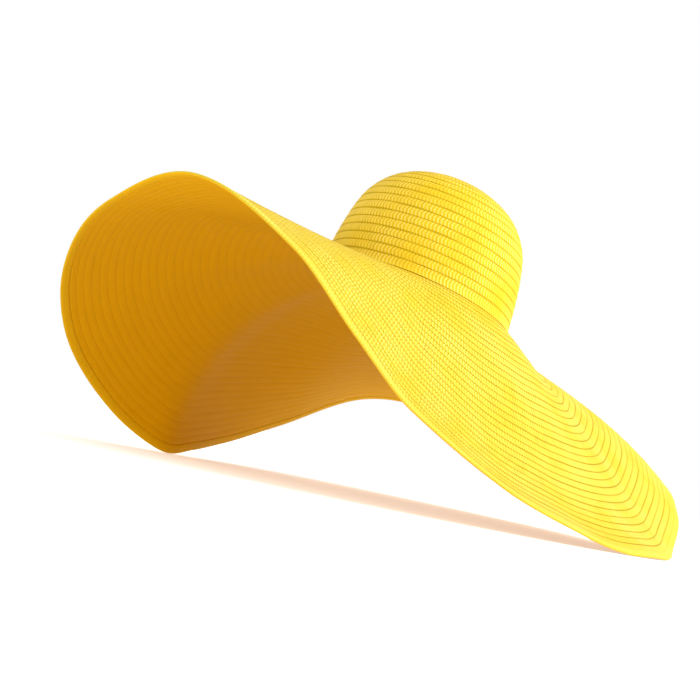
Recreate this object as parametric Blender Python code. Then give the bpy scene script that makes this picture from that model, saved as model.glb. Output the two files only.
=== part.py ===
"""Sun hat of sewn straw braid with a very wide, waved brim, lying on the rim of its brim.

Three pieces: the crown, the brim sewn under its lower edge, and the edge row sewn round the brim.
Each is worked out in the hat's own frame: Z is the crown's axis, Z = 0 is the head opening,
azimuth 0 is the wearer's front at -Y, and azimuths grow towards the wearer's left at +X.
"""
import math

import bmesh
import bpy
import numpy as np
from mathutils import Matrix, Vector
from mathutils.geometry import intersect_ray_tri

# Driving sizes, in metres.
HEAD_LENGTH = 0.189
HEAD_WIDTH = 0.171
CROWN_HEIGHT = 0.125
STRAW = 0.002
BRIM_WIDTH = 0.255
EDGE_ROW_WIDTH = 0.0085
EDGE_ROW_STRAW = 0.0026
SEAM_GAP = 0.0003

# Crown, from the brim up: share of the crown's height, share of the opening's radius.
CROWN_SHARES = (
    (0.00, 1.000),
    (0.12, 0.990),
    (0.30, 0.965),
    (0.50, 0.920),
    (0.65, 0.860),
    (0.80, 0.730),
    (0.90, 0.560),
    (0.97, 0.330),
    (1.00, 0.000),
)

# Brim, a row for each fold or hollow: azimuth, then the slope at the crown, half-way out and at
# the rim, in degrees. The slope changes smoothly across the brim, and a minus sign is downhill.
BRIM_FOLDS = (
    (7, 1, -24, -49),
    (22, -4, -16, -29),
    (38, -11, -10, -9),
    (56, -15, -19, -19),
    (68, -18, -33, -26),
    (80, -24, -45, -26),
    (103, -32, -54, -22),
    (125, -34, -53, -22),
    (138, -31, -50, -22),
    (150, -29, -44, -20),
    (160, -26, -38, -26),
    (172, -18, -30, -30),
    (182, -9, -17, -28),
    (192, -4, -8, -26),
    (204, -14, -22, -33),
    (220, -10, -17, -24),
    (242, -4, -5, -6),
    (256, -4, -8, -12),
    (270, -4, -25, -46),
    (284, -2, -42, -83),
    (298, -7, -55, -103),
    (312, -20, -61, -103),
    (324, -22, -56, -90),
    (335, -19, -48, -78),
    (345, -15, -40, -66),
    (355, -6, -32, -58),
)

# Facets: columns round the hat, rows up the crown and across the brim.
COLUMNS = 96
CROWN_ROWS = 12
BRIM_ROWS = 12
SLOPE_STEPS = 20

STRAW_YELLOW = (0.91, 0.65, 0.04, 1.0)
STRAW_ROUGHNESS = 0.75


def smooth(keys, values, query):
    """Values at the query places of a smooth curve through the rows of a table."""
    place = np.clip(np.searchsorted(keys, query, side="right") - 1, 1, len(keys) - 3)
    step = keys[place + 1] - keys[place]
    share = (query - keys[place]) / step
    start = (values[place + 1] - values[place - 1]) / (keys[place + 1] - keys[place - 1]) * step
    end = (values[place + 2] - values[place]) / (keys[place + 2] - keys[place]) * step
    rise = values[place + 1] - values[place]
    return values[place] + share * (start + share * (3 * rise - 2 * start - end + share * (start + end - 2 * rise)))


def around():
    """Azimuth of each column, in radians."""
    return np.arange(COLUMNS) * 2 * math.pi / COLUMNS


def opening_radius(outset):
    """Radius of the head opening, made larger by outset, at each column."""
    length = HEAD_LENGTH / 2 + outset
    width = HEAD_WIDTH / 2 + outset
    return 1 / np.hypot(np.cos(around()) / length, np.sin(around()) / width)


def fold_slopes():
    """Slopes at the crown, half-way out and at the rim at each column, in radians."""
    table = np.array(BRIM_FOLDS, float)
    turn = np.array([360, 0, 0, 0])
    table = np.radians(np.concatenate([table[-2:] - turn, table, table[:2] + turn]))
    return [smooth(table[:, 0], table[:, column], around())[:, None] for column in (1, 2, 3)]


def brim_radius_and_height(distances):
    """Radius and height of the brim's middle surface at distances from the opening's edge."""
    whole = BRIM_WIDTH + EDGE_ROW_WIDTH
    at_crown, half_way, at_rim = fold_slopes()
    radii = []
    heights = []
    for distance in distances:
        steps = (np.arange(SLOPE_STEPS) + 0.5) / SLOPE_STEPS * distance / whole
        slope = at_crown * (1 - steps) * (1 - 2 * steps) + half_way * 4 * steps * (1 - steps)
        slope = slope + at_rim * steps * (2 * steps - 1)
        radii.append(opening_radius(0) + np.cos(slope).mean(axis=1) * distance)
        heights.append(np.sin(slope).mean(axis=1) * distance)
    return np.array(radii), np.array(heights)


def brim_surface(inner, outer, rows):
    """Rings of the brim's middle surface from one distance to another."""
    radius, height = brim_radius_and_height(np.linspace(inner, outer, rows + 1))
    return np.stack([radius * np.sin(around()), -radius * np.cos(around()), height], axis=-1)


def crown_surface():
    """Rings of the crown's middle surface, evenly spaced from its lower edge almost to its top."""
    table = np.array(CROWN_SHARES)
    below = table[1] * (-1, 1)
    beyond = table[-2] * (1, -1)
    table = np.vstack([below, table, beyond])
    half_width = HEAD_WIDTH / 2
    runs = np.hypot(np.diff(table[:, 0]) * CROWN_HEIGHT, np.diff(table[:, 1]) * half_width)
    along = np.concatenate([[0], np.cumsum(runs)])
    places = np.linspace(along[1], along[-2], CROWN_ROWS + 1)
    rise = smooth(along, table[:, 0], places)[:, None]
    share = smooth(along, table[:, 1], places)[:, None]
    foot = STRAW / 2 + SEAM_GAP
    height = foot + rise * (CROWN_HEIGHT - STRAW / 2 - foot) + 0 * around()
    radius = share * opening_radius(STRAW / 2)
    return np.stack([radius * np.sin(around()), -radius * np.cos(around()), height], axis=-1)


def outward(rings):
    """Unit normals of a surface of rings, away from the hat's hollow."""
    round_it = np.roll(rings, -1, axis=1) - np.roll(rings, 1, axis=1)
    across = np.gradient(rings, axis=0)
    normal = np.cross(round_it, across)
    return normal / np.maximum(np.linalg.norm(normal, axis=-1, keepdims=True), 1e-12)


def shell(name, rings, straw, normals, closed_top):
    """One closed wall of the given straw thickness about a surface of rings."""
    work = bmesh.new()
    walls = []
    for side in (0.5, -0.5):
        places = rings + normals * straw * side
        walls.append([[work.verts.new(place) for place in ring] for ring in places])
    outer, inner = walls
    for row in range(len(rings) - 1):
        for column in range(COLUMNS):
            after = (column + 1) % COLUMNS
            work.faces.new([outer[row][column], outer[row][after], outer[row + 1][after], outer[row + 1][column]])
            work.faces.new([inner[row][column], inner[row + 1][column], inner[row + 1][after], inner[row][after]])
    if closed_top:
        for wall in walls:
            bmesh.ops.pointmerge(work, verts=wall[-1], merge_co=wall[-1][0].co)
    ends = [0] if closed_top else [0, -1]
    for end in ends:
        for column in range(COLUMNS):
            after = (column + 1) % COLUMNS
            work.faces.new([outer[end][column], outer[end][after], inner[end][after], inner[end][column]])
    bmesh.ops.recalc_face_normals(work, faces=work.faces)
    mesh = bpy.data.meshes.new(name)
    work.to_mesh(mesh)
    work.free()
    mesh.shade_smooth()
    mesh.set_sharp_from_angle(angle=math.radians(40))
    mesh.materials.append(straw_material(name))
    piece = bpy.data.objects.new(name, mesh)
    bpy.context.scene.collection.objects.link(piece)
    return piece


def straw_material(name):
    """Matt yellow straw."""
    material = bpy.data.materials.new(name + "_straw")
    material.use_nodes = True
    surface = material.node_tree.nodes["Principled BSDF"]
    surface.inputs["Base Color"].default_value = STRAW_YELLOW
    surface.inputs["Roughness"].default_value = STRAW_ROUGHNESS
    return material


def make_crown():
    rings = crown_surface()
    normals = outward(rings)
    normals[0, :, 2] = 0
    normals[0] /= np.linalg.norm(normals[0], axis=-1, keepdims=True)
    normals[-1] = (0, 0, 1)
    return shell("crown", rings, STRAW, normals, closed_top=True)


def make_brim():
    rings = brim_surface(0, BRIM_WIDTH, BRIM_ROWS)
    return shell("brim", rings, STRAW, -outward(rings), closed_top=False)


def make_edge_row():
    rings = brim_surface(BRIM_WIDTH + SEAM_GAP, BRIM_WIDTH + EDGE_ROW_WIDTH, 1)
    return shell("edge_row", rings, EDGE_ROW_STRAW, -outward(rings), closed_top=False)


def centre_of_mass(pieces):
    """Volume centre of the closed pieces, all of one straw."""
    volume = 0
    moment = Vector()
    for piece in pieces:
        piece.data.calc_loop_triangles()
        for triangle in piece.data.loop_triangles:
            a, b, c = (piece.data.vertices[index].co for index in triangle.vertices)
            part = a.dot(b.cross(c)) / 6
            volume += part
            moment += part * (a + b + c) / 4
    return moment / volume


def lay_down(pieces):
    """Parent the pieces to an empty that stands the hat on the rim under its centre of mass."""
    centre = centre_of_mass(pieces)
    hull = bmesh.new()
    for piece in pieces:
        for vert in piece.data.vertices:
            hull.verts.new(vert.co)
    bmesh.ops.convex_hull(hull, input=hull.verts)
    steady = []
    for face in hull.faces:
        if intersect_ray_tri(*(vert.co for vert in face.verts), face.normal, centre):
            steady.append(face.normal.copy())
    hull.free()
    down = min(steady, key=lambda normal: normal.z)
    turn = down.rotation_difference(Vector((0, 0, -1))).to_matrix()
    places = np.array([turn @ vert.co for piece in pieces for vert in piece.data.vertices])
    low = places.min(axis=0)
    high = places.max(axis=0)
    rest = bpy.data.objects.new("hat_at_rest", None)
    bpy.context.scene.collection.objects.link(rest)
    spot = Vector((-(low[0] + high[0]) / 2, -(low[1] + high[1]) / 2, -low[2]))
    rest.matrix_world = Matrix.LocRotScale(spot, turn.to_quaternion(), None)
    for piece in pieces:
        piece.parent = rest


for old in list(bpy.data.objects):
    bpy.data.objects.remove(old)

lay_down([make_crown(), make_brim(), make_edge_row()])
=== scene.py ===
import math

import bmesh
import bpy
import numpy as np
from mathutils import Matrix, Vector


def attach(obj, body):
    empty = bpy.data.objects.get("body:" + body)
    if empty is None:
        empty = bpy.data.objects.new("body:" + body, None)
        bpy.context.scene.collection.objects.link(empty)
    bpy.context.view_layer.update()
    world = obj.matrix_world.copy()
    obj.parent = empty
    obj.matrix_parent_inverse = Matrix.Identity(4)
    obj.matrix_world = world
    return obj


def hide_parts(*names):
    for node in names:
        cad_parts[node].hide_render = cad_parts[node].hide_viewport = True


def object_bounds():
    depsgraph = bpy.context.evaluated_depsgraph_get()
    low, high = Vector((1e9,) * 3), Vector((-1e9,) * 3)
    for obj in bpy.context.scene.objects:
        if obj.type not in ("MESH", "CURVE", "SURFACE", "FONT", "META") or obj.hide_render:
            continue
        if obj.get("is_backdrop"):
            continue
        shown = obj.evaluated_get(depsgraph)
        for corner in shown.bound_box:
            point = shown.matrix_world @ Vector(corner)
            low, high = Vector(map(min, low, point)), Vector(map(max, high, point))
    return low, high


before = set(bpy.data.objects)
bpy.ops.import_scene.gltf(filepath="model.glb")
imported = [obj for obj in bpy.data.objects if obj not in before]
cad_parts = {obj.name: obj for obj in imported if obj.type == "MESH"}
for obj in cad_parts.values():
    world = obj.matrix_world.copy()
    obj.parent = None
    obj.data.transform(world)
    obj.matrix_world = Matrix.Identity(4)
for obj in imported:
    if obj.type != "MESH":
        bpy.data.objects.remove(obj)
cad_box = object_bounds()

# The brim: straw braid 8.5 mm wide, plaited flat and sewn round and round from the crown's lower
# edge outwards. Each row lies over the start of the next, so each shows a small step and a line of
# stitches. The rows follow the folds that the brim has taken.
MM = 0.001
HEAD_LENGTH = 0.189
HEAD_WIDTH = 0.171
STRAW = 0.002
BRIM_WIDTH = 0.255
EDGE_ROW_WIDTH = 0.0085
BRIM_ROWS = 30
BRIM_COLUMNS = 288
BRIM_END_GAP = 0.1 * MM
SLOPE_STEPS = 20

# How the hat lies: how far its crown leans, the direction of the line that it leans about, and the
# middle of its head opening.
LEAN_DEG = 14.289
LEAN_LINE_DEG = 209.444
OPENING_PLACE = Vector((0.01136, 0.00616, 0.19404))

# A row for each fold or hollow: azimuth, then the slope at the crown, half-way out and at the rim,
# in degrees. Azimuth 0 is the wearer's front, 90 is the wearer's left, and downhill is minus.
BRIM_FOLDS = (
    (7, 1, -24, -49),
    (22, -4, -16, -29),
    (38, -11, -10, -9),
    (56, -15, -19, -19),
    (68, -18, -33, -26),
    (80, -24, -45, -26),
    (103, -32, -54, -22),
    (125, -34, -53, -22),
    (138, -31, -50, -22),
    (150, -29, -44, -20),
    (160, -26, -38, -26),
    (172, -18, -30, -30),
    (182, -9, -17, -28),
    (192, -4, -8, -26),
    (204, -14, -22, -33),
    (220, -10, -17, -24),
    (242, -4, -5, -6),
    (256, -4, -8, -12),
    (270, -4, -25, -46),
    (284, -2, -42, -83),
    (298, -7, -55, -103),
    (312, -20, -61, -103),
    (324, -22, -56, -90),
    (335, -19, -48, -78),
    (345, -15, -40, -66),
    (355, -6, -32, -58),
)

# Across one row of braid: share of the row's width, height in millimetres over its lowest line,
# which lies 0.5 mm inside the plain wall's face. A row also sways and swells a little as it runs.
ROW_OUTSIDE = ((0.03, 0.32), (0.14, 0.50), (0.50, 0.60), (0.86, 0.62), (0.97, 0.48))
ROW_INSIDE = ((0.05, 0.18), (0.30, 0.48), (0.65, 0.48), (0.93, 0.20))
ROW_BASE = STRAW / 2 - 0.5 * MM
BRIM_SWAY = 0.10 * MM
BRIM_SWELL = 0.05 * MM

# The plait: its strands, the stitches along its seams, its patches of painted highlight and its
# relief. Rows on the underside are numbered from 50, so that the material can tell them apart.
UNDERSIDE = 50
STRAND_PITCH = 3.6 * MM
FEWEST_STRANDS = 6
NEEDLE_PITCH = 3 * MM
HIGHLIGHT_PATCH_SIZE = 40 * MM
RELIEF = 0.4 * MM
TINY = 1e-12


def smooth(keys, values, query):
    """Values at the query places of a smooth curve through the rows of a table."""
    place = np.clip(np.searchsorted(keys, query, side="right") - 1, 1, len(keys) - 3)
    step = keys[place + 1] - keys[place]
    share = (query - keys[place]) / step
    start = (values[place + 1] - values[place - 1]) / (keys[place + 1] - keys[place - 1]) * step
    end = (values[place + 2] - values[place]) / (keys[place + 2] - keys[place]) * step
    rise = values[place + 1] - values[place]
    bend = start + end - 2 * rise
    return values[place] + share * (start + share * (rise - start - bend + share * bend))


def around(columns):
    """Azimuths of the columns in radians, with the first again at the end."""
    return np.arange(columns + 1) * 2 * math.pi / columns


def opening_radius(azimuth, outset):
    """Radius of the oval head opening, made larger by outset."""
    along = np.cos(azimuth) / (HEAD_LENGTH / 2 + outset)
    beside = np.sin(azimuth) / (HEAD_WIDTH / 2 + outset)
    return 1 / np.hypot(along, beside)


def round_hat(azimuth, radius, height):
    """Points in the hat's own frame, from the wearer's front towards the wearer's left."""
    return np.stack([radius * np.sin(azimuth), -radius * np.cos(azimuth), height + 0 * radius], axis=-1)


def at_rest(rings):
    """Points of the hat's own frame, moved to where the hat lies."""
    line = Vector((math.cos(math.radians(LEAN_LINE_DEG)), math.sin(math.radians(LEAN_LINE_DEG)), 0))
    lean = Matrix.Rotation(math.radians(LEAN_DEG), 3, line)
    return rings @ np.array(lean).T + np.array(OPENING_PLACE)


def brim_rings(columns, distance):
    """Points of the brim's middle surface at each column, at distances from the opening's edge."""
    azimuth = around(columns)
    table = np.array(BRIM_FOLDS, float)
    turn = np.array([360, 0, 0, 0])
    table = np.radians(np.concatenate([table[-2:] - turn, table, table[:2] + turn]))
    slopes = [smooth(table[:, 0], table[:, column], azimuth)[:, None] for column in (1, 2, 3)]
    steps = (np.arange(SLOPE_STEPS) + 0.5) / SLOPE_STEPS
    share = distance[..., None] * steps / (BRIM_WIDTH + EDGE_ROW_WIDTH)
    slope = slopes[0] * (1 - share) * (1 - 2 * share) + slopes[1] * 4 * share * (1 - share)
    slope = slope + slopes[2] * share * (2 * share - 1)
    radius = opening_radius(azimuth, 0) + np.cos(slope).mean(axis=-1) * distance
    return round_hat(azimuth, radius, np.sin(slope).mean(axis=-1) * distance)


def raised(rings, height, side):
    """Rings moved off their surface by a height, to its outside (1) or its underside (-1)."""
    round_it = np.roll(rings[:, :-1], -1, axis=1) - np.roll(rings[:, :-1], 1, axis=1)
    across = np.gradient(rings, axis=0)[:, :-1]
    normal = np.cross(across, round_it) * side
    normal /= np.maximum(np.linalg.norm(normal, axis=-1, keepdims=True), TINY)
    return rings + np.concatenate([normal, normal[:, :1]], axis=1) * height[..., None]


def wander(row, azimuth, waves, size):
    """A little unevenness of a sewn row: two waves round the hat that shift from row to row."""
    turn = row[:, None] * 2.4
    swing = np.sin(waves * azimuth + turn) + 0.6 * np.sin((2 * waves + 3) * azimuth + 1.7 * turn)
    return size * swing


def run_along(rings, row):
    """Metres run along each row, made a whole number of strands so that the plait closes."""
    steps = np.linalg.norm(np.diff(rings, axis=1), axis=-1)
    length = np.concatenate([np.zeros((len(rings), 1)), np.cumsum(steps, axis=1)], axis=1)
    length = np.array([length[row == one].mean(axis=0) for one in row])
    strands = np.maximum(np.round(length[:, -1:] / STRAND_PITCH), FEWEST_STRANDS)
    return length / np.maximum(length[:, -1:], TINY) * strands * STRAND_PITCH


def sewn_rows(rows, section):
    """Row number, share across the row and height in metres for every ring of a set of rows."""
    share, height = np.tile(np.transpose(section), rows)
    return np.repeat(np.arange(rows), len(section)), share, height * MM


def braid_side(rings, surface, row, share, side):
    """Rings of one side with their runs along and places across the braid, underside backwards."""
    place = row + share + (0 if side == 1 else UNDERSIDE)
    parts = rings, run_along(surface, row), np.repeat(place[:, None], rings.shape[1], axis=1)
    return [part[::side] for part in parts]


def skin(name, sides, columns, open_middle=True):
    """One closed piece: a grid laid on the rings of its two sides, joined round an open middle."""
    rings, along, across = (np.concatenate(parts) for parts in zip(*sides))
    if open_middle:
        rings, along = (np.concatenate([part, part[:1]]) for part in (rings, along))
        across = np.concatenate([across, across[-1:]])
    sheet = bmesh.new()
    bmesh.ops.create_grid(sheet, x_segments=columns, y_segments=len(rings) - 1, size=1, calc_uvs=False)
    mesh = bpy.data.meshes.new(name)
    sheet.to_mesh(mesh)
    sheet.free()
    flat = np.empty(len(mesh.vertices) * 3)
    mesh.vertices.foreach_get("co", flat)
    flat = flat.reshape(-1, 3)
    column = np.rint((flat[:, 0] + 1) / 2 * columns).astype(int)
    ring = np.rint((flat[:, 1] + 1) / 2 * (len(rings) - 1)).astype(int)
    mesh.vertices.foreach_set("co", at_rest(rings)[ring, column].ravel())
    corner = np.empty(len(mesh.loops), int)
    mesh.loops.foreach_get("vertex_index", corner)
    where = (ring[corner], column[corner])
    braid = mesh.uv_layers.new(name="braid")
    braid.uv.foreach_set("vector", np.stack([along[where], across[where]], axis=-1).ravel())
    closed = bmesh.new()
    closed.from_mesh(mesh)
    bmesh.ops.remove_doubles(closed, verts=closed.verts, dist=0.01 * MM)
    bmesh.ops.recalc_face_normals(closed, faces=closed.faces)
    closed.to_mesh(mesh)
    closed.free()
    mesh.shade_smooth()
    piece = bpy.data.objects.new(name, mesh)
    bpy.context.scene.collection.objects.link(piece)
    return piece


def linear(code):
    """An sRGB hex value as linear colour."""
    values = [int(code[place:place + 2], 16) / 255 for place in (0, 2, 4)]
    return [v / 12.92 if v <= 0.04045 else ((v + 0.055) / 1.055) ** 2.4 for v in values] + [1.0]


def add(tree, kind, inputs, **settings):
    """A shader node with its settings, its values and its links."""
    node = tree.nodes.new("ShaderNode" + kind)
    for name, value in settings.items():
        setattr(node, name, value)
    for socket, value in inputs.items():
        if isinstance(value, bpy.types.NodeSocket):
            tree.links.new(value, node.inputs[socket])
        else:
            node.inputs[socket].default_value = value
    return node


def paper_straw_braid(name, straw, shade, underside_painted_shade, painted_highlight_amount):
    """Dyed paper straw, plaited flat: matt outside with pale painted highlights where the strands catch
    the light, a shadow with stitches along each seam, and a plain underside in deeper gold, painted
    shade."""
    material = bpy.data.materials.new(name)
    material.use_nodes = True
    tree = material.node_tree
    surface = tree.nodes["Principled BSDF"]
    place = add(tree, "UVMap", {}, uv_map="braid")
    parts = add(tree, "SeparateXYZ", {0: place.outputs[0]})
    along, across = parts.outputs[0], parts.outputs[1]
    row = add(tree, "Math", {0: across}, operation="FLOOR").outputs[0]
    in_row = add(tree, "Math", {0: across}, operation="FRACT").outputs[0]
    row_start = add(tree, "TexWhiteNoise", {"W": row}, noise_dimensions="1D").outputs["Value"]
    to_edge = add(tree, "Math", {0: in_row, 1: 0.5}, operation="PINGPONG").outputs[0]

    # Strands lie across the row as chevrons, 3.6 mm apart, with their point in its middle.
    strands = add(tree, "Math", {0: along, 1: 1 / STRAND_PITCH}, operation="MULTIPLY").outputs[0]
    strands = add(tree, "Math", {0: to_edge, 1: 0.9, 2: strands}, operation="MULTIPLY_ADD").outputs[0]
    strands = add(tree, "Math", {0: row_start, 1: 5.0, 2: strands}, operation="MULTIPLY_ADD").outputs[0]
    ridge = add(tree, "Math", {0: strands, 1: 0.5}, operation="PINGPONG").outputs[0]
    rounded = add(tree, "MapRange", {0: ridge, 1: 0.05, 2: 0.42},
                  interpolation_type="SMOOTHSTEP").outputs[0]
    middle = add(tree, "MapRange", {0: to_edge, 1: 0.02, 2: 0.12},
                 interpolation_type="SMOOTHSTEP").outputs[0]
    plait = add(tree, "Math", {0: rounded, 1: middle}, operation="MULTIPLY").outputs[0]

    # The seam's shadow, 0.5 mm to each side of the row's edge, with a needle hole every 3 mm.
    seam = add(tree, "MapRange", {0: to_edge, 1: -0.02, 2: 0.055},
               interpolation_type="SMOOTHSTEP").outputs[0]
    pitch = add(tree, "Math", {0: along, 1: 1 / NEEDLE_PITCH, 2: row_start},
                operation="MULTIPLY_ADD").outputs[0]
    pitch = add(tree, "Math", {0: pitch}, operation="FRACT").outputs[0]
    pitch = add(tree, "Math", {0: pitch, 1: 0.5, 2: 0.2}, operation="COMPARE").outputs[0]
    beside = add(tree, "Math", {0: to_edge, 1: 0.11}, operation="LESS_THAN").outputs[0]
    hole = add(tree, "Math", {0: pitch, 1: beside}, operation="MULTIPLY").outputs[0]
    hole = add(tree, "Math", {0: hole, 1: -0.8, 2: 1.0}, operation="MULTIPLY_ADD").outputs[0]

    # Uneven dye: strands that took it a little more or less, in runs along the row.
    grain = add(tree, "CombineXYZ", {0: strands, 1: row}).outputs[0]
    uneven = add(tree, "TexNoise", {"Vector": grain, "Scale": 0.9, "Detail": 3.0}).outputs["Fac"]
    lit = add(tree, "MapRange", {0: uneven, 1: 0.3, 2: 0.7, 3: 0.55, 4: 0.85}).outputs[0]
    # Strands are coloured lighter where they lie proud and darker between them: painted shade in the
    # dips.
    lit = add(tree, "Math", {0: plait, 1: 0.3, 2: lit}, operation="MULTIPLY_ADD").outputs[0]
    lit = add(tree, "Math", {0: lit, 1: seam}, operation="MULTIPLY").outputs[0]
    lit = add(tree, "Math", {0: lit, 1: hole}, operation="MULTIPLY").outputs[0]
    outside = add(tree, "Mix", {0: lit, 6: linear(shade), 7: linear(straw)}, data_type="RGBA").outputs[2]

    # Painted highlights: pale colour on strands that lie proud, in patches about 40 mm across.
    spot = add(tree, "TexCoord", {}).outputs["Object"]
    highlight_patch = add(tree, "TexNoise", {"Vector": spot, "Scale": 1 / HIGHLIGHT_PATCH_SIZE, "Detail": 1.0})
    highlight_patch = add(tree, "MapRange", {0: highlight_patch.outputs["Fac"], 1: 0.3, 2: 0.7, 3: 0.2, 4: 1.0}).outputs[0]
    painted_highlight = add(tree, "MapRange", {0: plait, 1: 0.55, 2: 0.95},
                interpolation_type="SMOOTHSTEP").outputs[0]
    painted_highlight = add(tree, "Math", {0: painted_highlight, 1: highlight_patch}, operation="MULTIPLY").outputs[0]
    painted_highlight = add(tree, "Math", {0: painted_highlight, 1: painted_highlight_amount}, operation="MULTIPLY").outputs[0]
    outside = add(tree, "Mix", {0: painted_highlight, 6: outside, 7: linear("FFF2A0")}, data_type="RGBA").outputs[2]

    # The underside is plain and only its seams show; its deeper gold is painted shade, the warm bounce
    # light under the hat.
    beneath = add(tree, "Math", {0: across, 1: UNDERSIDE - 0.5}, operation="GREATER_THAN").outputs[0]
    soft = add(tree, "MapRange", {0: lit, 1: 0.0, 2: 1.0, 3: 0.86, 4: 1.0}).outputs[0]
    under = add(tree, "Mix", {0: soft, 6: linear(shade), 7: linear(underside_painted_shade)},
                data_type="RGBA").outputs[2]
    colour = add(tree, "Mix", {0: beneath, 6: outside, 7: under}, data_type="RGBA").outputs[2]
    tree.links.new(colour, surface.inputs["Base Color"])
    height = add(tree, "Math", {0: plait, 1: 0.5, 2: seam}, operation="MULTIPLY_ADD").outputs[0]
    bump = add(tree, "Bump", {"Height": height, "Distance": RELIEF, "Strength": 0.4})
    tree.links.new(bump.outputs[0], surface.inputs["Normal"])

    # Paper straw is matt: it hardly mirrors anything.
    surface.inputs["Roughness"].default_value = 0.55
    surface.inputs["IOR"].default_value = 1.46
    surface.inputs["Specular IOR Level"].default_value = 0.04
    return material


def make_brim():
    azimuth = around(BRIM_COLUMNS)
    row_width = BRIM_WIDTH / BRIM_ROWS
    sides = []
    for section, side in ((ROW_OUTSIDE, 1), (ROW_INSIDE, -1)):
        row, share, height = sewn_rows(BRIM_ROWS, section)
        distance = (row + share)[:, None] * row_width + wander(row, azimuth, 5, BRIM_SWAY)
        distance = np.clip(distance, BRIM_END_GAP, BRIM_WIDTH - BRIM_END_GAP)
        surface = brim_rings(BRIM_COLUMNS, distance)
        lift = height[:, None] + wander(row, azimuth, 9, BRIM_SWELL) + ROW_BASE
        sides.append(braid_side(raised(surface, lift, side), surface, row, share, side))
    brim = skin("brim_braid", sides, BRIM_COLUMNS)
    # The underside's deeper gold given here is painted shade.
    straw = paper_straw_braid("dyed_paper_straw_brim", straw="D8B728", shade="86740E",
                              underside_painted_shade="CA9200", painted_highlight_amount=0.32)
    brim.data.materials.append(straw)
    return brim


brim = make_brim()
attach(brim, "root")
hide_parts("brim")

# The crown: the same braid, begun at a small coil in the middle of the top and sewn row under row
# down the sides, so that each row's lower edge stands out a little over the next. Its last row
# turns outwards and lies on the brim.
CROWN_HEIGHT = 0.125
SEAM_GAP = 0.0003

# From the brim up: share of the crown's height, share of the opening's radius.
CROWN_SHARES = (
    (0.00, 1.000),
    (0.12, 0.990),
    (0.30, 0.965),
    (0.50, 0.920),
    (0.65, 0.860),
    (0.80, 0.730),
    (0.90, 0.560),
    (0.97, 0.330),
    (1.00, 0.000),
)
CROWN_ROWS = 19
CROWN_COLUMNS = 192
CROWN_SWAY_ROWS = 0.03
CROWN_SWELL = 0.04 * MM

# The coil starts almost in the middle, and its first two rows are the most even ones.
COIL_START = 0.0005
COIL_ROWS = 2

# The last row's turned-out part: share of the row, its reach over the brim from first to last, its
# height over the middle of the brim, and how much of the row's relief it loses.
TURNED_SHARE = 0.6
TURNED_START = 0.8 * MM
TURNED_REACH = 4.0 * MM
TURNED_HEIGHT = 0.8 * STRAW
TURNED_FLATTENING = 0.7


def crown_rings(columns, share_down):
    """Points of the crown's middle surface, by share of the way from its top to its lower edge."""
    table = np.array(CROWN_SHARES)
    below = table[1] * (-1, 1)
    beyond = (2 - table[-2, 0], -table[-2, 1])
    table = np.vstack([below, table, beyond])
    runs = np.hypot(np.diff(table[:, 0]) * CROWN_HEIGHT, np.diff(table[:, 1]) * HEAD_WIDTH / 2)
    place = np.concatenate([[0], np.cumsum(runs)])
    query = place[-2] + (place[1] - place[-2]) * share_down
    foot = STRAW / 2 + SEAM_GAP
    height = foot + smooth(place, table[:, 0], query) * (CROWN_HEIGHT - STRAW / 2 - foot)
    azimuth = around(columns)
    radius = smooth(place, table[:, 1], query) * opening_radius(azimuth, STRAW / 2)
    return round_hat(azimuth, radius, height)


def make_crown():
    azimuth = around(CROWN_COLUMNS)
    sides = []
    for section, side in ((ROW_OUTSIDE, 1), (ROW_INSIDE, -1)):
        row, share, height = sewn_rows(CROWN_ROWS, section)
        evened = np.clip((row + share) / COIL_ROWS, 0, 1)[:, None]
        down = (row + share)[:, None] + wander(row, azimuth, 4, CROWN_SWAY_ROWS) * evened
        surface = crown_rings(CROWN_COLUMNS, np.clip(down / CROWN_ROWS, COIL_START, 1))
        turned = np.clip((row + share - CROWN_ROWS + TURNED_SHARE) / TURNED_SHARE, 0, 1)[:, None]
        on_brim = brim_rings(CROWN_COLUMNS, TURNED_START + TURNED_REACH * turned + 0 * azimuth)
        on_brim[..., 2] += TURNED_HEIGHT
        blend = (turned ** 2 * (3 - 2 * turned))[..., None]
        surface = surface * (1 - blend) + on_brim * blend
        lift = height[:, None] + wander(row, azimuth, 7, CROWN_SWELL) * evened + ROW_BASE
        rings = raised(surface, lift * (1 - TURNED_FLATTENING * turned), side)
        centre = rings[:1].mean(axis=1, keepdims=True) + 0 * rings[:1]
        rings = np.concatenate([centre, rings])
        surface = np.concatenate([surface[:1], surface])
        sides.append(braid_side(rings, surface, np.append(0, row), np.append(0, share), side))
    crown = skin("crown_braid", sides, CROWN_COLUMNS, open_middle=False)
    # The underside's deeper gold given here is painted shade.
    straw = paper_straw_braid("dyed_paper_straw_crown", straw="DEB71E", shade="A48A12",
                              underside_painted_shade="CA9200", painted_highlight_amount=0.3)
    crown.data.materials.append(straw)
    return crown


crown = make_crown()
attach(crown, "root")
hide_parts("crown")

# The edge row: one more row of braid round the brim, doubled over so that its rim is thick and
# round, and sewn down over the edge of the row before it.
EDGE_ROW_STRAW = 0.0026
EDGE_LAP = 1.2 * MM
EDGE_SWELL = 0.05 * MM

# Across the row: share of its width with the lap, share of half its thickness.
EDGE_SECTION = (
    (0.00, 0.55),
    (0.08, 0.95),
    (0.30, 1.10),
    (0.65, 1.10),
    (0.86, 0.90),
    (0.96, 0.55),
    (1.00, 0.15),
)


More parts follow.
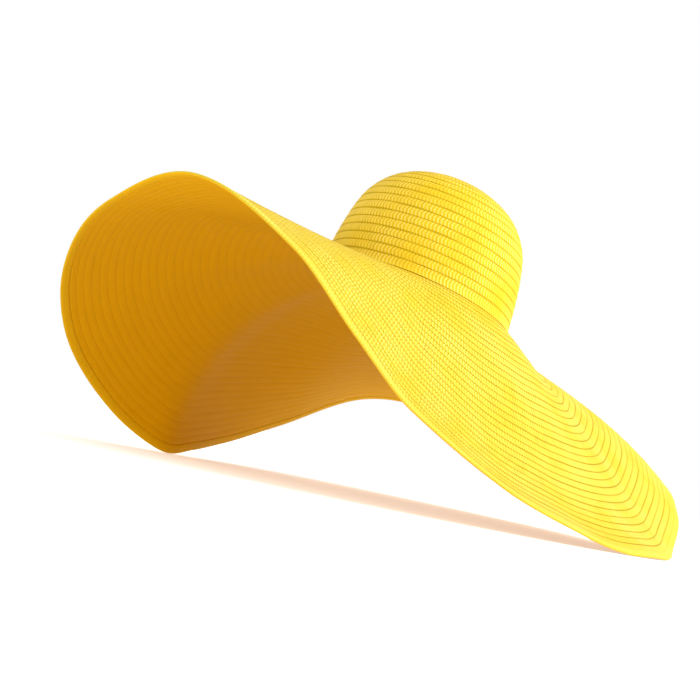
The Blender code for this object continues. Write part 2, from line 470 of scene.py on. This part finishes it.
def make_edge_row():
    azimuth = around(BRIM_COLUMNS)
    share, height = np.transpose(EDGE_SECTION)
    row = np.zeros(len(share))
    distance = BRIM_WIDTH - EDGE_LAP + share * (EDGE_ROW_WIDTH + EDGE_LAP)
    surface = brim_rings(BRIM_COLUMNS, distance[:, None] + 0 * azimuth)
    lift = (height * EDGE_ROW_STRAW / 2)[:, None] + wander(row, azimuth, 11, EDGE_SWELL)
    sides = [braid_side(raised(surface, lift, side), surface, row, share, side) for side in (1, -1)]
    edge = skin("edge_braid", sides, BRIM_COLUMNS)
    # The underside's deeper gold given here is painted shade.
    straw = paper_straw_braid("dyed_paper_straw_edge", straw="D6BE38", shade="B8A030",
                              underside_painted_shade="CC9A04", painted_highlight_amount=0.2)
    edge.data.materials.append(straw)
    return edge


edge_row = make_edge_row()
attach(edge_row, "root")
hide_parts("edge_row")

# The studio: one wide table of white opal acrylic, lit from below, so that it has no visible end
# and lightens the hat's shadow.
TABLE_RADIUS = 40
top = bmesh.new()
bmesh.ops.create_circle(top, cap_ends=True, segments=96, radius=TABLE_RADIUS)
floor_mesh = bpy.data.meshes.new("floor")
top.to_mesh(floor_mesh)
top.free()
floor = bpy.data.objects.new("floor", floor_mesh)
bpy.context.scene.collection.objects.link(floor)
acrylic = bpy.data.materials.new("white_opal_acrylic")
acrylic.use_nodes = True
acrylic_surface = acrylic.node_tree.nodes["Principled BSDF"]
acrylic_surface.inputs["Base Color"].default_value = linear("FAFAF8")
acrylic_surface.inputs["Roughness"].default_value = 0.9
acrylic_surface.inputs["Emission Color"].default_value = linear("FFFFFF")
acrylic_surface.inputs["Emission Strength"].default_value = 0.38
floor_mesh.materials.append(acrylic)
floor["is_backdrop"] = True

# The camera: low, a little to the wearer's front of the wearer's left side, and turned to one side
# until the hat, which leans as it lies, stands in the picture as it is worn.
CAMERA_PLACE = Vector((1.7206, -0.5435, 0.0445))
CAMERA_AZIMUTH = math.radians(73.78)
CAMERA_ELEVATION = math.radians(-2.88)
CAMERA_ROLL = math.radians(11.80)
SENSOR_WIDTH_MM = 36
FOCAL_LENGTH_MM = 95.93
lens = bpy.data.cameras.new("camera")
lens.sensor_width = SENSOR_WIDTH_MM
lens.lens = FOCAL_LENGTH_MM
camera = bpy.data.objects.new("camera", lens)
bpy.context.scene.collection.objects.link(camera)
heading = Matrix.Rotation(CAMERA_AZIMUTH, 3, "Z")
rise = Matrix.Rotation(math.pi / 2 - CAMERA_ELEVATION, 3, "X")
aim = heading @ rise @ Matrix.Rotation(CAMERA_ROLL, 3, "Z")
camera.matrix_world = Matrix.LocRotScale(CAMERA_PLACE, aim.to_quaternion(), None)
bpy.context.scene.camera = camera

# The light: a large soft key from above, behind the wearer's left shoulder, a weak low fill from
# the wearer's front and left, and a white surround. A lamp has its place and width in metres and
# its power in watts.
LIT_PLACE = Vector((0, 0, 0.15))
for name, place, width, power in (
    ("key", Vector((1.0, 2.3, 1.6)), 2.4, 92),
    ("fill", Vector((1.6, -1.5, 0.35)), 1.6, 12),
):
    lamp = bpy.data.lights.new(name, "AREA")
    lamp.shape = "DISK"
    lamp.size = width
    lamp.energy = power
    light = bpy.data.objects.new(name, lamp)
    bpy.context.scene.collection.objects.link(light)
    turn = (LIT_PLACE - place).to_track_quat("-Z", "Y")
    light.matrix_world = Matrix.LocRotScale(place, turn, None)
surround = bpy.data.worlds.new("surround")
surround.use_nodes = True
surround.node_tree.nodes["Background"].inputs["Color"].default_value = linear("FFFFFF")
surround.node_tree.nodes["Background"].inputs["Strength"].default_value = 1.0
bpy.context.scene.world = surround
bpy.context.scene.view_settings.view_transform = "Standard"

boxes = {"cad": cad_box, "visual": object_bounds()}
boxes = {name: [list(corner) for corner in box] for name, box in boxes.items()}
